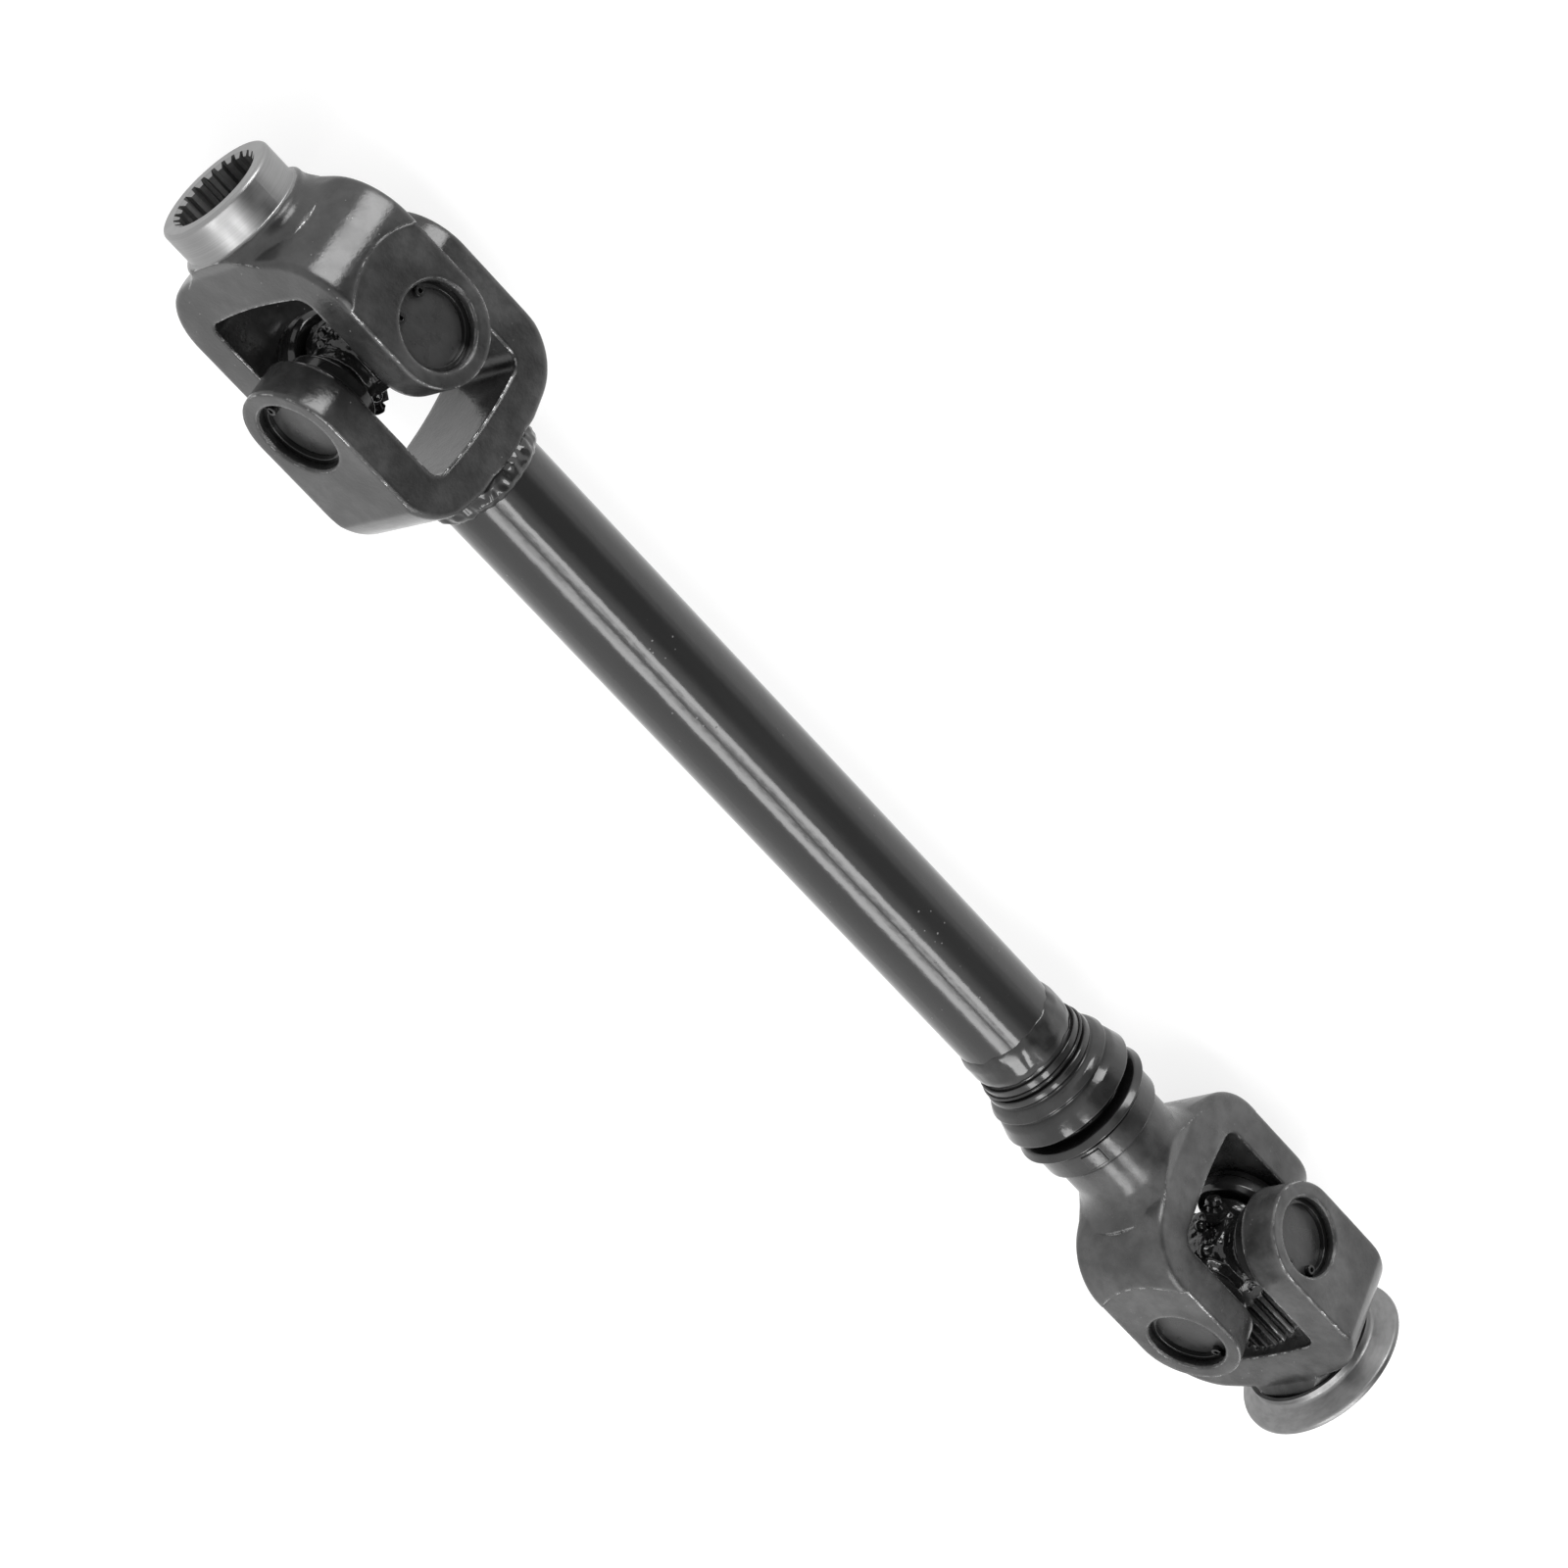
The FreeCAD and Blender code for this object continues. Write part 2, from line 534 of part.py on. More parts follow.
def boot_retaining_rings():
    """Two turns of round wire that hold the small cuff."""
    turn_radius = CUFF_RADIUS + 0.02 + RING_WIRE_RADIUS
    return [Part.makeTorus(turn_radius, RING_WIRE_RADIUS, vec(x, 0, 0), X) for x in RING_WIRE_STATIONS]


def slip_yoke():
    """Yoke with the splined sleeve that slides on the stub."""
    front = LOWER_PIVOT_X - NECK_START_X
    hub = flare(0.0, NECK_HALF_WIDTH, [
        (SLIP_WINDOW - 1.5, 0), (SLIP_WINDOW - 1.5, 9), (30.6, 19.6), (33.0, 19.6),
        (36.4, NECK_RADIUS, 7), (front, NECK_RADIUS, 0.6), (front, 0)])
    solid = yoke(SLIP_WINDOW, 0.0, SPOT_FACE_RADIUS).fuse(hub).removeSplitter()
    solid = solid.cut(window(SLIP_WINDOW))
    solid = solid.cut(turned_x(SLIP_TIP_RADIUS, SLIP_WINDOW - TOOL_OVERRUN, front + 1))
    return solid.cut(spline_prism(SLIP_TEETH, SLIP_TIP_RADIUS - 0.1, SLIP_ROOT_RADIUS, SLIP_GAP_LAND,
                                  SLIP_WINDOW - TOOL_OVERRUN, front + 1))


# --- assembly --------------------------------------------------------------------------
def joint_pieces(name, pivot_x, phase_deg, outer_towards_plus_x):
    """Cross, bearings, seals and rings of one joint, as node name to list of solids."""
    nodes = {}
    for role, turn in (("outer", 0), ("inner", -90)):
        ring = snap_ring(RING_TURN_DEG[f"{name}_{role}"])
        for kind, solids in (("bearing_caps", [bearing_cap()]), ("needle_rollers", needles()),
                             ("seals", [seal()]), ("snap_rings", [ring])):
            placed = []
            for solid in solids:
                for one in both_ends(solid):
                    placed.append(place(one, pivot_x, phase_deg + turn, outer_towards_plus_x))
            nodes[f"{name}_{role}_{kind}"] = placed
    nodes[f"{name}_cross"] = [place(cross(), pivot_x, phase_deg, outer_towards_plus_x)]
    return nodes


def main():
    os.makedirs("parts", exist_ok=True)
    nodes = {}
    nodes.update(joint_pieces("upper", UPPER_PIVOT_X, UPPER_PHASE_DEG, False))
    nodes.update(joint_pieces("lower", LOWER_PIVOT_X, LOWER_PHASE_DEG, True))
    nodes["upper_outer_yoke"] = [place(upper_outer_yoke(), UPPER_PIVOT_X, UPPER_PHASE_DEG, False)]
    nodes["tube_yoke"] = [place(tube_yoke(), UPPER_PIVOT_X, UPPER_PHASE_DEG - 90, True)]
    nodes["slip_yoke"] = [place(slip_yoke(), LOWER_PIVOT_X, LOWER_PHASE_DEG - 90, False)]
    nodes["lower_outer_yoke"] = [place(lower_outer_yoke(), LOWER_PIVOT_X, LOWER_PHASE_DEG, True)]
    nodes["dust_shield"] = [dust_shield()]
    nodes["tube"] = [tube()]
    start = UPPER_PIVOT_X + TUBE_YOKE_END
    nodes["upper_weld"] = [weld_bead(start + 0.1, start + 4.5, TUBE_RADIUS + 0.01, 13.5)]
    nodes["lower_weld"] = [weld_bead(TUBE_END_X - 3.2, TUBE_END_X - 0.1, TUBE_RADIUS + 0.01, 13.4)]
    nodes["splined_stub"] = [splined_stub()]
    nodes["bellows_boot"] = [bellows_boot()]
    nodes["boot_clamp"] = [boot_clamp()]
    nodes["boot_retaining_rings"] = boot_retaining_rings()
    nodes["upper_grease_nipple"] = [grease_nipple(UPPER_PIVOT_X, True, UPPER_NIPPLE_LEAN_DEG)]
    nodes["lower_grease_nipple"] = [grease_nipple(LOWER_PIVOT_X, False, LOWER_NIPPLE_LEAN_DEG)]
    for node, solids in sorted(nodes.items()):
        shape = solids[0] if len(solids) == 1 else Part.makeCompound(solids)
        shape.exportStep(f"parts/{node}.step")


main()
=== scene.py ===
"""Looks for a telescoping drive shaft with a universal joint at each end.

Metres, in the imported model's frame: +X runs from the splined sleeve to the dust shield, +Z is up.
"""

import json
import math
import random

import bmesh
import bpy
from mathutils import Matrix, Vector, noise


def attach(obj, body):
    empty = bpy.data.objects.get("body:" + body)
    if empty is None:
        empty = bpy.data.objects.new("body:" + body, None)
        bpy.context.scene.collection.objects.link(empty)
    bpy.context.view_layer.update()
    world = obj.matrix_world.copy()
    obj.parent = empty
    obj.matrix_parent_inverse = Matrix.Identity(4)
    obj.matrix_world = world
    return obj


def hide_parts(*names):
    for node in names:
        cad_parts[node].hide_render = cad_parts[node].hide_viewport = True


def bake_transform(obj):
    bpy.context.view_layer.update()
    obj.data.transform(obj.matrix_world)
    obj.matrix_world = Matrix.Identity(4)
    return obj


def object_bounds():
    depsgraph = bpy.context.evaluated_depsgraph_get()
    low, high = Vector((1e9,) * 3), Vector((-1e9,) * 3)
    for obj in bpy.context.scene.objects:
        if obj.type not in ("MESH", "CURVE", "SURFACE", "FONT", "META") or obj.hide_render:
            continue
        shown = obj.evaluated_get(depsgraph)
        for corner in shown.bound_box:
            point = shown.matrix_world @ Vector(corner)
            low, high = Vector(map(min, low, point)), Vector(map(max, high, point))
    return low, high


# --- camera, at the photograph's angle -------------------------------------------
CAMERA_PLACE = (-0.4692, 0.2161, 0.9026)
CAMERA_RIGHT = (0.61650, 0.77710, 0.12671)
CAMERA_UP = (-0.65193, 0.59404, -0.47129)
CAMERA_BACK = (-0.44151, 0.20794, 0.87283)
CAMERA_LENS = 106.65
CAMERA_SENSOR = 36.0

# --- built pieces, in millimetres unless it says metres -----------------------------
MM = 0.001
RING_STEPS = 288                # mesh steps round the shaft
# Corners (x, radius, rounding) of the boot's skin: out along its outside, back along its inside.
BOOT_OUTSIDE = [
    (79.65, 12.99, 0.1), (79.65, 13.70, 0.3), (81.60, 13.75, 0.3), (82.00, 13.30, 0.2),
    (82.80, 13.30, 0.2), (83.20, 14.40, 0.4), (84.60, 14.60, 0.4), (85.00, 14.00, 0.3),
    (85.60, 13.90, 0.4), (86.60, 15.60, 0.5), (88.30, 16.50, 0.45), (88.70, 15.40, 0.4),
    (89.50, 15.00, 0.4), (91.20, 16.60, 0.6), (95.20, 17.75, 0.45), (95.50, 16.90, 0.4),
    (95.30, 13.20, 0.8), (98.90, 12.90, 0.8), (99.30, 16.60, 0.5), (101.10, 17.85, 0.40),
    (101.70, 16.90, 0.4), (101.90, 15.50, 0.3), (109.15, 15.40, 0.3), (109.15, 14.45, 0.1)]
BOOT_INSIDE = [
    (101.20, 14.45, 0.2), (101.00, 16.50, 0.3), (100.20, 16.00, 0.3), (99.80, 12.00, 0.3),
    (94.30, 12.20, 0.4), (94.10, 16.40, 0.4), (91.20, 15.50, 0.4), (89.90, 14.00, 0.3),
    (88.40, 14.10, 0.3), (87.60, 15.20, 0.3), (86.20, 12.99, 0.3)]
BOOT_WAVER = 0.10               # unevenness of the moulded folds
# Weld beads: from x, to x, height, drops round the tube, lumpiness, fineness of the lumps.
UPPER_WELD = (-118.7, -112.9, 1.55, 15, 0.24, 3)
LOWER_WELD = (70.0, 79.5, 0.95, 9, 0.12, 2)
WELD_ROOT = 12.72               # radius of the tube's skin under a bead
WELD_ROWS = 30                  # mesh rows across a bead
UPPER_PIVOT = -0.154            # where each cross has its centre, in metres along the shaft
LOWER_PIVOT = 0.158
GREASE_LUMPS = 46
GREASE_SHELL = (9.6, 11.2)      # how far from the pivot the lumps lie
GREASE_LUMP_RADIUS = (0.8, 1.7)
GREASE_VOXEL = 0.0003

# --- paint and floor ---------------------------------------------------------------
SLEEVE_EDGE = -0.1921           # x where the paint stops and the bare turned sleeve begins
CHIP_METAL = 0.8                # metal share of a chip in the paint
FLOOR_TONE = 0.275
FLOOR_GLOW = 0.78

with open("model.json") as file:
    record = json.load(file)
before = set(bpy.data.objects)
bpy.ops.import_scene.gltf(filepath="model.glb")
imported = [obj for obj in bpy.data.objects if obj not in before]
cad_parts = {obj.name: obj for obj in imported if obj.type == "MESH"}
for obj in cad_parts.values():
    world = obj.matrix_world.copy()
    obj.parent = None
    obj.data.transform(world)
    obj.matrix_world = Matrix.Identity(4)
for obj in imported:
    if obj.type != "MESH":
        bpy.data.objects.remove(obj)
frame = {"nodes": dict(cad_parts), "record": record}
cad_box = [list(corner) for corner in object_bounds()]
nodes = frame["nodes"]


# --- node helpers ------------------------------------------------------------------
class Shader:
    """A material's node tree, with short calls for the nodes used here."""

    def __init__(self, name):
        self.material = bpy.data.materials.new(name)
        self.material.use_nodes = True
        self.tree = self.material.node_tree
        self.tree.nodes.clear()
        self.output = self.tree.nodes.new("ShaderNodeOutputMaterial")
        self.place = self.add("ShaderNodeTexCoord").outputs["Object"]

    def add(self, kind, **settings):
        node = self.tree.nodes.new(kind)
        for key, value in settings.items():
            setattr(node, key, value)
        return node

    def feed(self, socket, value):
        if isinstance(value, bpy.types.NodeSocket):
            self.tree.links.new(value, socket)
        elif isinstance(value, (tuple, list)) or not hasattr(socket.default_value, "__len__"):
            socket.default_value = value
        else:
            socket.default_value = grey(value)

    def math(self, operation, a, b=0.0):
        node = self.add("ShaderNodeMath", operation=operation)
        self.feed(node.inputs[0], a)
        self.feed(node.inputs[1], b)
        return node.outputs[0]

    def noise(self, scale, detail=3.0, roughness=0.5, place=None):
        node = self.add("ShaderNodeTexNoise")
        self.feed(node.inputs["Vector"], place or self.place)
        node.inputs["Scale"].default_value = scale
        node.inputs["Detail"].default_value = detail
        node.inputs["Roughness"].default_value = roughness
        return node.outputs["Fac"]

    def specks(self, scale, size):
        """Small round dots, 1 on a dot."""
        node = self.add("ShaderNodeTexVoronoi")
        self.feed(node.inputs["Vector"], self.place)
        node.inputs["Scale"].default_value = scale
        return self.remap(node.outputs["Distance"], size, size * 0.5)

    def remap(self, value, low, high, to_low=0.0, to_high=1.0):
        node = self.add("ShaderNodeMapRange", interpolation_type="SMOOTHSTEP")
        for socket, number in zip(node.inputs, (value, low, high, to_low, to_high)):
            self.feed(socket, number)
        return node.outputs[0]

    def stretched(self, x, y, z):
        node = self.add("ShaderNodeMapping")
        self.feed(node.inputs["Vector"], self.place)
        node.inputs["Scale"].default_value = (x, y, z)
        return node.outputs[0]

    def along(self):
        """Distance along the shaft."""
        node = self.add("ShaderNodeSeparateXYZ")
        self.feed(node.inputs[0], self.place)
        return node.outputs["X"]

    def bump(self, height, distance, below=None):
        node = self.add("ShaderNodeBump")
        self.feed(node.inputs["Height"], height)
        node.inputs["Distance"].default_value = distance
        if below is not None:
            self.feed(node.inputs["Normal"], below)
        return node.outputs[0]

    def bevel(self, radius):
        """Normal that rounds sharp edges."""
        node = self.add("ShaderNodeBevel", samples=6)
        node.inputs["Radius"].default_value = radius
        return node.outputs[0]

    def edges(self, radius, low, high):
        """1 along sharp edges, from how far a bevel turns the normal."""
        dot = self.add("ShaderNodeVectorMath", operation="DOT_PRODUCT")
        self.feed(dot.inputs[0], self.bevel(radius))
        self.feed(dot.inputs[1], self.add("ShaderNodeNewGeometry").outputs["Normal"])
        return self.remap(self.math("SUBTRACT", 1.0, dot.outputs["Value"]), low, high)

    def hollows(self, reach):
        """1 in the open, falling to 0 deep in a recess."""
        node = self.add("ShaderNodeAmbientOcclusion", samples=6)
        node.inputs["Distance"].default_value = reach
        return node.outputs["AO"]

    def mix(self, share, a, b):
        node = self.add("ShaderNodeMix", data_type="RGBA")
        self.feed(node.inputs[0], share)
        self.feed(node.inputs[6], a)
        self.feed(node.inputs[7], b)
        return node.outputs[2]

    def blend(self, share, a, b):
        node = self.add("ShaderNodeMix", data_type="FLOAT")
        self.feed(node.inputs[0], share)
        self.feed(node.inputs[2], a)
        self.feed(node.inputs[3], b)
        return node.outputs[0]

    def surface(self, colour, roughness, metallic=0.0, normal=None, ior=1.5, specular=0.5):
        node = self.add("ShaderNodeBsdfPrincipled")
        self.feed(node.inputs["Specular IOR Level"], specular)
        self.feed(node.inputs["Base Color"], colour)
        self.feed(node.inputs["Roughness"], roughness)
        self.feed(node.inputs["Metallic"], metallic)
        self.feed(node.inputs["IOR"], ior)
        if normal is not None:
            self.feed(node.inputs["Normal"], normal)
        self.tree.links.new(node.outputs[0], self.output.inputs["Surface"])
        return self.material


def grey(value):
    return (value, value, value, 1.0)


# --- materials ---------------------------------------------------------------------
def gloss_paint():
    """Black enamel on drawn tube: faint draw lines, orange peel and a little dust."""
    s = Shader("gloss_black_paint")
    flow = s.noise(90, 4, 0.55, s.stretched(0.10, 1, 1))
    dust = s.math("MULTIPLY", s.specks(420, 0.12), s.remap(s.noise(60, 2), 0.56, 0.66))
    colour = s.mix(s.remap(flow, 0.3, 0.7), grey(0.016), grey(0.022))
    colour = s.mix(s.math("MULTIPLY", dust, 0.6), colour, grey(0.20))
    rough = s.math("ADD", s.remap(flow, 0.3, 0.7, 0.12, 0.18), s.math("MULTIPLY", dust, 0.3))
    peel = s.bump(s.noise(230, 2), 0.00005)
    lines = s.bump(s.noise(420, 2, 0.5, s.stretched(0.01, 1, 1)), 0.00003, peel)
    return s.surface(colour, rough, normal=s.bump(dust, 0.00004, lines))


def forged_colours(s, tone, low_rough, grit=0.00004):
    """Colour, roughness, chips and normal of painted forging with chipped edges."""
    broad = s.noise(70, 3)
    grain = s.noise(1100, 3, 0.6)
    fine = s.remap(s.noise(300, 4, 0.6), 0.3, 0.7, 0.75, 1.25)
    mottle = s.math("MULTIPLY", s.remap(broad, 0.32, 0.68, 0.5, 1.4), fine)
    colour = s.mix(s.math("MULTIPLY", mottle, 0.5), grey(0.004), grey(tone * 2))
    dust = s.math("MULTIPLY", s.specks(520, 0.11), s.remap(s.noise(90, 2), 0.56, 0.64))
    colour = s.mix(dust, colour, grey(0.14))
    chips = s.math("MULTIPLY", s.edges(0.0009, 0.07, 0.17), s.remap(s.noise(330, 4, 0.7), 0.47, 0.57))
    colour = s.mix(chips, colour, grey(0.50))
    rough = s.remap(s.noise(260, 3), 0.3, 0.7, low_rough, low_rough + 0.09)
    normal = s.bump(grain, grit, s.bevel(0.0015))
    normal = s.bump(broad, 0.00012, normal)
    return colour, rough, chips, normal


def forged_paint(name, tone, low_rough, grit=0.00004):
    """Painted forging, with painted shade that darkens its recesses and dims their reflections."""
    s = Shader(name)
    colour, rough, chips, normal = forged_colours(s, tone, low_rough, grit)
    # painted shade: where the occlusion node finds a recess, the colour falls to near black and the
    # specular dims
    unshaded = s.remap(s.hollows(0.009), 0.50, 0.92)
    return s.surface(
        s.mix(unshaded, grey(0.004), colour), rough,
        metallic=s.math("MULTIPLY", chips, CHIP_METAL), normal=normal, specular=s.blend(unshaded, 0.12, 0.5))


def sleeve_and_forging():
    """Painted forging with a bare turned sleeve beyond SLEEVE_EDGE, towards -X."""
    s = Shader("forged_black_paint_and_turned_sleeve")
    colour, rough, chips, normal = forged_colours(s, 0.025, 0.15)
    ragged = s.math("ADD", s.along(), s.math("MULTIPLY", s.noise(300, 3), 0.0006))
    bare = s.remap(ragged, SLEEVE_EDGE + 0.0005, SLEEVE_EDGE + 0.0002)
    rings = s.noise(900, 3, 0.6, s.stretched(4, 0.03, 0.03))
    steel = s.mix(s.remap(rings, 0.3, 0.7), grey(0.24), grey(0.27))
    turned = s.bump(rings, 0.000002)
    normal_mix = s.add("ShaderNodeMix", data_type="VECTOR")
    s.feed(normal_mix.inputs[0], bare)
    s.feed(normal_mix.inputs[4], normal)
    s.feed(normal_mix.inputs[5], turned)
    return s.surface(
        s.mix(bare, colour, steel),
        s.blend(bare, rough, s.remap(s.noise(220, 3), 0.3, 0.7, 0.36, 0.44)),
        metallic=s.math("MAXIMUM", bare, s.math("MULTIPLY", chips, CHIP_METAL)),
        normal=normal_mix.outputs[1])


def metal(name, value, roughness, across, ripple):
    """Plated metal; a small across stretches its grain round the shaft."""
    s = Shader(name)
    grain = s.noise(900, 3, 0.6, s.stretched(1.5, across, across))
    colour = s.mix(s.remap(grain, 0.3, 0.7), grey(value * 0.9), grey(value * 1.1))
    rough = s.remap(s.noise(400, 3), 0.3, 0.7, roughness - 0.04, roughness + 0.05)
    return s.surface(colour, rough, metallic=1.0, normal=s.bump(grain, ripple))


def painted_steel(name, value, roughness):
    """Thin paint over a machined or pressed piece."""
    s = Shader(name)
    grain = s.noise(900, 3)
    colour = s.mix(s.remap(s.noise(150, 3), 0.35, 0.65), grey(value * 0.85), grey(value * 1.2))
    rough = s.remap(s.noise(300, 3), 0.3, 0.7, roughness - 0.05, roughness + 0.05)
    return s.surface(colour, rough, normal=s.bump(grain, 0.00004, s.bevel(0.0004)))


def rubber():
    s = Shader("nitrile_rubber")
    bloom = s.noise(120, 4)
    colour = s.mix(s.remap(bloom, 0.35, 0.65), grey(0.012), grey(0.022))
    rough = s.remap(bloom, 0.35, 0.65, 0.12, 0.20)
    # painted shade: the rubber's colour falls to near black and its specular dims deep in the grooves
    # between folds
    unshaded = s.remap(s.hollows(0.007), 0.40, 0.85)
    return s.surface(
        s.mix(unshaded, grey(0.003), colour), rough,
        normal=s.bump(s.noise(420, 3), 0.00006), specular=s.blend(unshaded, 0.06, 0.5))


def greasy():
    """Dark forging under a wet film of grease."""
    s = Shader("phosphated_steel")
    film = s.noise(260, 3, 0.55)
    colour = s.mix(s.remap(film, 0.35, 0.65), grey(0.005), grey(0.012))
    rough = s.remap(s.noise(130, 2), 0.35, 0.65, 0.06, 0.16)
    return s.surface(colour, rough, normal=s.bump(film, 0.0005))


def weld_paint():
    s = Shader("weld")
    colour = s.mix(s.remap(s.noise(300, 3), 0.35, 0.65), grey(0.014), grey(0.024))
    rough = s.remap(s.noise(200, 2), 0.35, 0.65, 0.10, 0.20)
    return s.surface(colour, rough, normal=s.bump(s.noise(400, 2), 0.00004))


MATERIALS = {
    "gloss_black_paint": gloss_paint(),
    "forged_black_paint": forged_paint("forged_black_paint", 0.036, 0.17),
    "machined_steel": painted_steel("machined_steel", 0.018, 0.16),
    "bearing_steel": painted_steel("bearing_steel", 0.021, 0.30),
    "phosphated_steel": greasy(),
    "nitrile_rubber": rubber(),
    "weld": weld_paint(),
    # snap rings: black spring steel, pushed near black as painted shade for the recesses they sit in
    "spring_steel": painted_steel("spring_steel", 0.004, 0.13),
    "zinc_plate": metal("zinc_plate", 0.21, 0.44, 0.30, 0.000004),
    "clamp_band": painted_steel("clamp_band", 0.020, 0.20),
}
OWN_MATERIALS = {
    "upper_outer_yoke": sleeve_and_forging(),
    "tube_yoke": forged_paint("forged_black_paint_glossier", 0.026, 0.13),
    "slip_yoke": forged_paint("forged_black_paint_smoother", 0.036, 0.20, 0.000015),
    "upper_grease_nipple": MATERIALS["phosphated_steel"],
    "lower_grease_nipple": MATERIALS["phosphated_steel"],
}


def paint_nodes():
    """Gives every CAD node the material of its slot, or its own."""
    slots = {part["node"]: part["material_slot"] for part in frame["record"]["subparts"]}
    for name, node in nodes.items():
        node.data.materials.clear()
        node.data.materials.append(OWN_MATERIALS.get(name) or MATERIALS[slots[name]])


# --- built pieces -----------------------------------------------------------------
def ring_mesh(name, rows, slot):
    """Closed ring: rows of points round the shaft, each joined to the next and the last to the first."""
    points = [point for row in rows for point in row]
    steps = len(rows[0])
    faces = []
    for row in range(len(rows)):
        here = row * steps
        below = (row + 1) % len(rows) * steps
        for step in range(steps):
            ahead = (step + 1) % steps
            faces.append((here + step, here + ahead, below + ahead, below + step))
    mesh = bpy.data.meshes.new(name)
    mesh.from_pydata(points, [], faces)
    mesh.shade_smooth()
    mesh.materials.append(MATERIALS[slot])
    piece = bpy.data.objects.new(name, mesh)
    bpy.context.scene.collection.objects.link(piece)
    return piece


def rounded_line(corners, steps=5):
    """Closed line through (x, radius, rounding) corners, each rounded with a short curve."""
    places = [Vector(corner[:2]) for corner in corners]
    line = []
    for index, corner in enumerate(corners):
        here = places[index]
        back = places[index - 1] - here
        ahead = places[(index + 1) % len(places)] - here
        entry = here + back.normalized() * min(corner[2], back.length * 0.45)
        leave = here + ahead.normalized() * min(corner[2], ahead.length * 0.45)
        for step in range(steps + 1):
            t = step / steps
            line.append(entry * (1 - t) ** 2 + here * 2 * t * (1 - t) + leave * t ** 2)
    return line


def around(x, radius, angle):
    return (x * MM, radius * MM * math.cos(angle), radius * MM * math.sin(angle))


def waver(x, angle, scale, seed):
    """Smooth unevenness from -1 to 1 that closes on itself round the shaft."""
    return noise.noise(Vector((x * scale, seed + 2.2 * math.cos(angle), 2.2 * math.sin(angle))))


def build_boot():
    """Rubber bellows between the stub's collar and the slip yoke's neck."""
    rows = []
    for x, radius in rounded_line(BOOT_OUTSIDE + BOOT_INSIDE):
        loose = BOOT_WAVER * min(1.0, max(0.0, radius - 14.3))
        row = []
        for step in range(RING_STEPS):
            angle = 2 * math.pi * step / RING_STEPS
            give = loose * waver(x, angle, 0.25, 3.0)
            shift = 1.6 * loose * waver(x, angle, 0.02, 9.0)
            row.append(around(x + shift, radius + give, angle))
        rows.append(row)
    boot = ring_mesh("rubber_boot", rows, "nitrile_rubber")
    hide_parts("bellows_boot")
    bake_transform(boot)


def build_weld(name, cad_node, bead, seed):
    """Bead of overlapping drops round the tube, thick with paint."""
    start, end, height, drops, lumpiness, fineness = bead
    rows = []
    angles = [math.pi * step / RING_STEPS for step in range(RING_STEPS * 2)]
    for index in range(WELD_ROWS):
        share = index / (WELD_ROWS - 1)
        row = []
        for angle in angles:
            wander = 0.45 * waver(0.0, angle, 1.0, seed)
            wide = 1 + 0.14 * waver(4.0, fineness * angle, 1.0, seed)
            x = (start + end) / 2 + wander + (share - 0.5) * (end - start) * wide
            phase = drops * angle + 7 * (share - 0.5) ** 2 + 1.5 * waver(1.0, angle, 1.0, seed + 4)
            drop = 0.5 + 0.5 * math.sin(phase)
            crown = min(1.0, math.sin(math.pi * share) * 1.25) ** 0.75
            lump = 0.70 + lumpiness * (drop + 1.6 * waver(share * 2, fineness * angle, 1.0, seed + 8))
            row.append(around(x, WELD_ROOT - 0.05 + height * crown * lump, angle))
        rows.append(row)
    rows.append([around(end, WELD_ROOT - 0.3, angle) for angle in angles])
    rows.append([around(start, WELD_ROOT - 0.3, angle) for angle in angles])
    weld = ring_mesh(name, rows, "weld")
    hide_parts(cad_node)
    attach(weld, "shaft")


def build_greased_cross(name, cad_node, body, pivot, seed):
    """The cross with lumps of grease squeezed out round the roots of its arms."""
    shape = bmesh.new()
    shape.from_mesh(nodes[cad_node].data)
    rolls = random.Random(seed)
    for _ in range(GREASE_LUMPS):
        way = Vector((rolls.uniform(-1, 1), rolls.uniform(-1, 1), rolls.uniform(-1, 1))).normalized()
        centre = Vector((pivot, 0, 0)) + way * rolls.uniform(*GREASE_SHELL) * MM
        size = rolls.uniform(*GREASE_LUMP_RADIUS) * MM
        bmesh.ops.create_icosphere(shape, subdivisions=3, radius=size, matrix=Matrix.Translation(centre))
    mesh = bpy.data.meshes.new(name)
    shape.to_mesh(mesh)
    shape.free()
    mesh.materials.clear()
    mesh.materials.append(MATERIALS["phosphated_steel"])
    cross = bpy.data.objects.new(name, mesh)
    bpy.context.scene.collection.objects.link(cross)
    texture = bpy.data.textures.new(f"{name}_lumps", "CLOUDS")
    texture.noise_scale = 0.003
    skin = cross.modifiers.new("one_skin", "REMESH")
    skin.mode = "VOXEL"
    skin.voxel_size = GREASE_VOXEL
    skin.use_smooth_shade = True
    smooth = cross.modifiers.new("soften", "SMOOTH")
    smooth.iterations = 4
    lumps = cross.modifiers.new("lumps", "DISPLACE")
    lumps.texture = texture
    lumps.strength = 0.0006
    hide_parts(cad_node)
    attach(cross, body)


# --- camera, floor and lights ---------------------------------------------------------
def set_camera():
    data = bpy.data.cameras.new("camera")
    data.lens = CAMERA_LENS
    data.sensor_width = CAMERA_SENSOR
    data.clip_start = 0.01
    data.clip_end = 50
    camera = bpy.data.objects.new("camera", data)
    bpy.context.scene.collection.objects.link(camera)
    turn = Matrix((CAMERA_RIGHT, CAMERA_UP, CAMERA_BACK)).transposed()
    camera.matrix_world = Matrix.Translation(CAMERA_PLACE) @ turn.to_4x4()
    bpy.context.scene.camera = camera


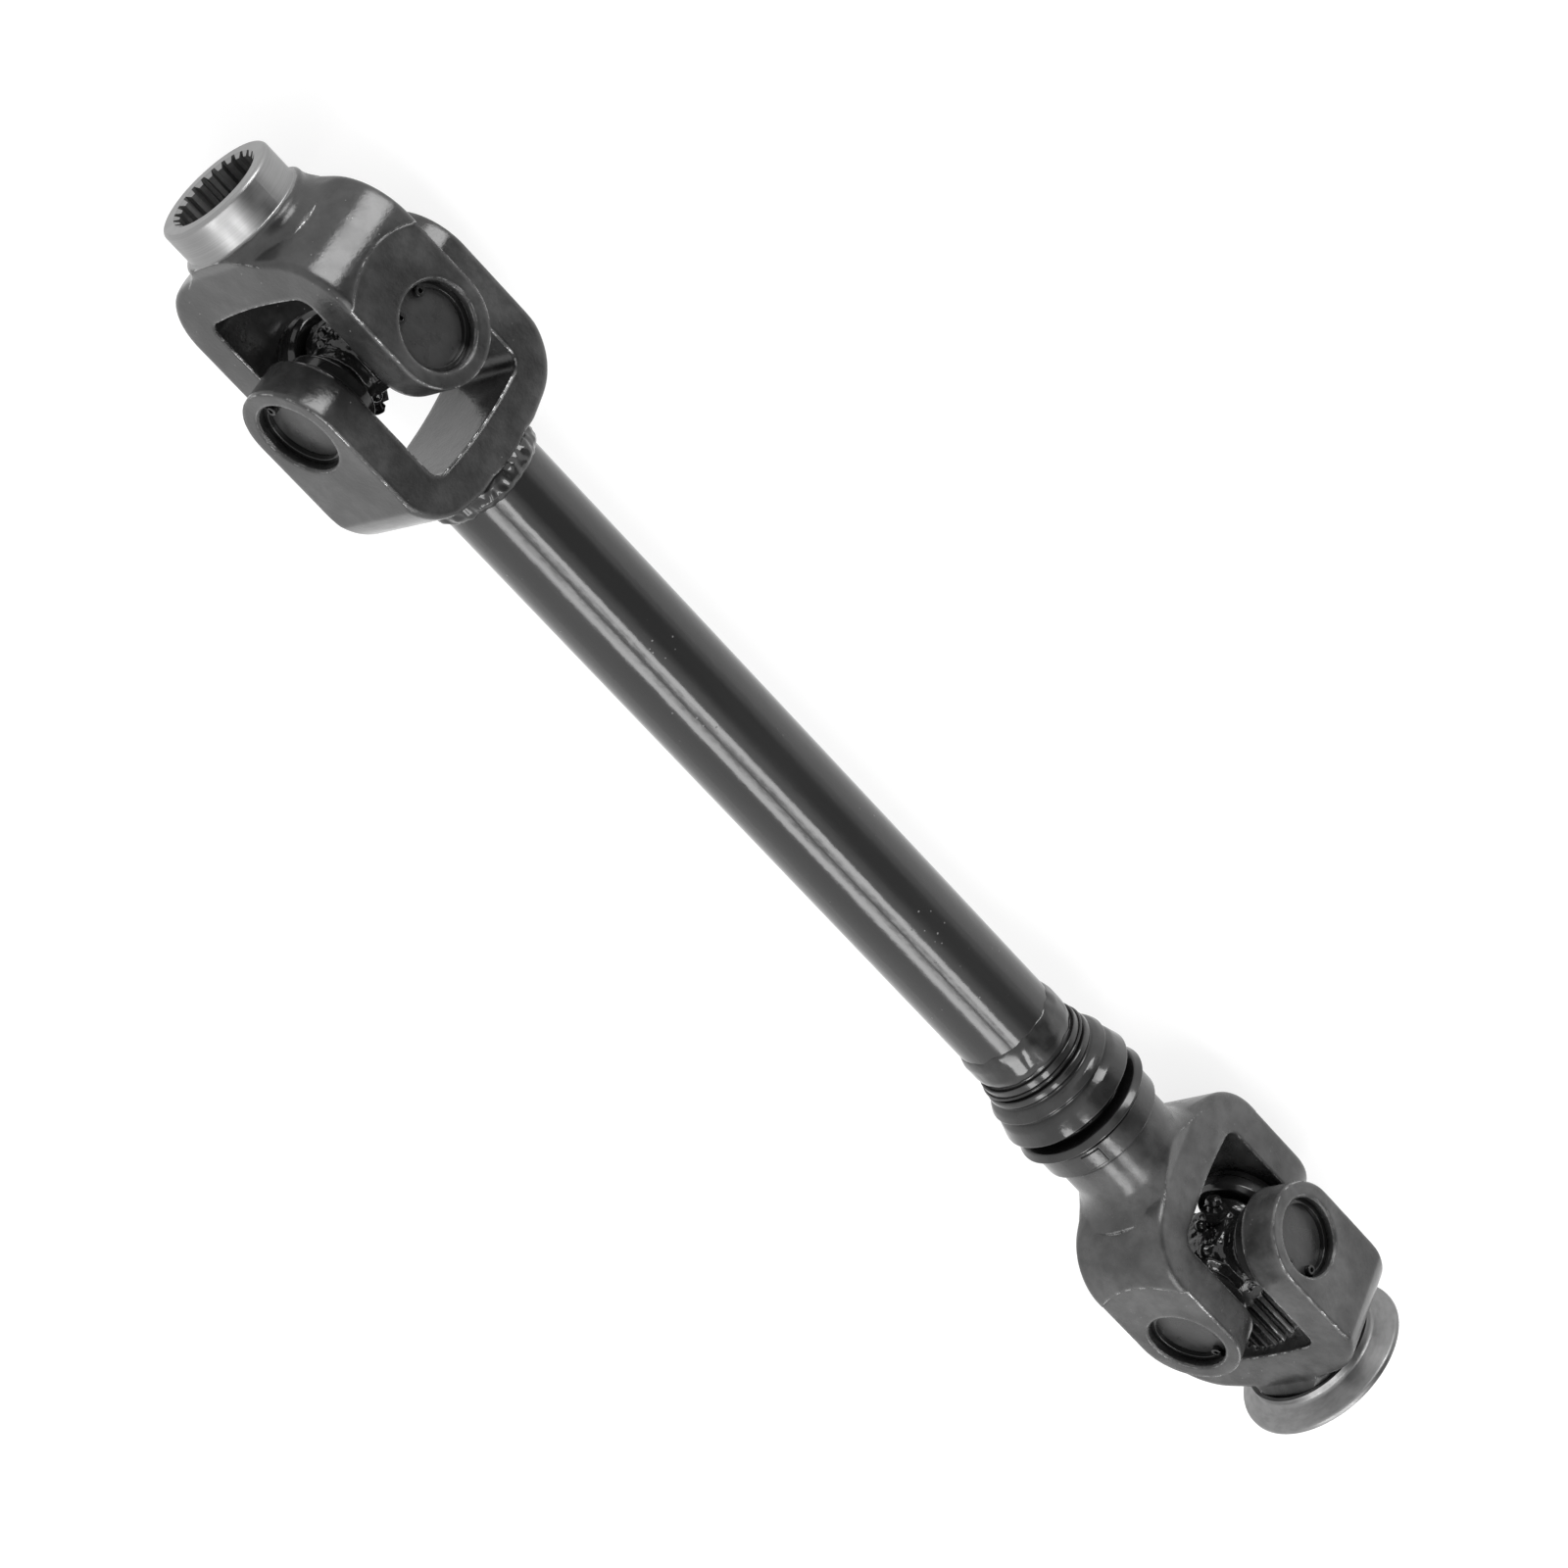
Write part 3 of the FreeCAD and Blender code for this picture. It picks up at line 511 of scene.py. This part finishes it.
def lay_floor():
    """Pale floor that glows a little, like a lit table."""
    low = cad_box[0][2] - 0.0002
    bpy.ops.mesh.primitive_plane_add(size=14, location=(0, 0, low))
    floor = bpy.context.object
    floor.name = "floor"
    s = Shader("floor")
    tone = s.remap(s.noise(3, 2), 0.3, 0.7, FLOOR_TONE - 0.005, FLOOR_TONE + 0.005)
    floor.data.materials.append(s.surface(tone, 0.9, ior=1.2))
    glow = next(node for node in s.tree.nodes if node.type == "BSDF_PRINCIPLED")
    glow.inputs["Emission Color"].default_value = grey(1.0)
    glow.inputs["Emission Strength"].default_value = FLOOR_GLOW


def bank(name, place, size, radiance):
    """Soft box at a place, facing the middle of the shaft, of (along X, across) size."""
    data = bpy.data.lights.new(name, "AREA")
    data.shape = "RECTANGLE"
    data.size, data.size_y = size
    data.energy = radiance * math.pi * size[0] * size[1]
    light = bpy.data.objects.new(name, data)
    bpy.context.scene.collection.objects.link(light)
    facing = Vector(place).normalized()
    across = facing.cross(Vector((1, 0, 0))).normalized()
    along = across.cross(facing)
    turn = Matrix((along, across, facing)).transposed()
    light.matrix_world = Matrix.Translation(place) @ turn.to_4x4()
    light.visible_camera = False


def set_world():
    """Pale surroundings on the -Y side and overhead, dark on the +Y side, paler again near the floor."""
    world = bpy.data.worlds.new("studio")
    world.use_nodes = True
    tree = world.node_tree
    background = tree.nodes["Background"]
    background.inputs["Color"].default_value = grey(1.0)
    split = tree.nodes.new("ShaderNodeSeparateXYZ")
    tree.links.new(tree.nodes.new("ShaderNodeTexCoord").outputs["Generated"], split.inputs[0])

    def ramp(axis, low, high, to_low, to_high):
        node = tree.nodes.new("ShaderNodeMapRange")
        node.interpolation_type = "SMOOTHSTEP"
        tree.links.new(split.outputs[axis], node.inputs[0])
        for socket, value in zip(node.inputs[1:5], (low, high, to_low, to_high)):
            socket.default_value = value
        return node.outputs[0]

    def combine(operation, a, b):
        node = tree.nodes.new("ShaderNodeMath")
        node.operation = operation
        tree.links.new(a, node.inputs[0])
        tree.links.new(b, node.inputs[1])
        return node.outputs[0]

    side = ramp("Y", 0.28, 0.60, 1.10, 0.07)
    low_glow = combine("MULTIPLY", ramp("Z", 0.34, 0.05, 0.0, 0.75), ramp("Y", 0.3, 0.7, 0.0, 1.0))
    tree.links.new(combine("ADD", side, low_glow), background.inputs["Strength"])
    bpy.context.scene.world = world


paint_nodes()
build_boot()
build_weld("upper_weld_bead", "upper_weld", UPPER_WELD, 1.0)
build_weld("lower_weld_bead", "lower_weld", LOWER_WELD, 21.0)
build_greased_cross("upper_greased_cross", "upper_cross", "upper_spider", UPPER_PIVOT, 5)
build_greased_cross("lower_greased_cross", "lower_cross", "lower_spider", LOWER_PIVOT, 8)
set_camera()
lay_floor()
set_world()
bank("bank_left", (0.76, -0.80, 1.45), (1.3, 0.40), 8.0)
bank("bank_top", (0.80, 0.08, 1.55), (1.3, 0.30), 9.0)
bank("bank_end", (-0.90, 1.30, 0.34), (1.0, 0.62), 9.0)
bpy.context.scene.view_settings.view_transform = "Standard"
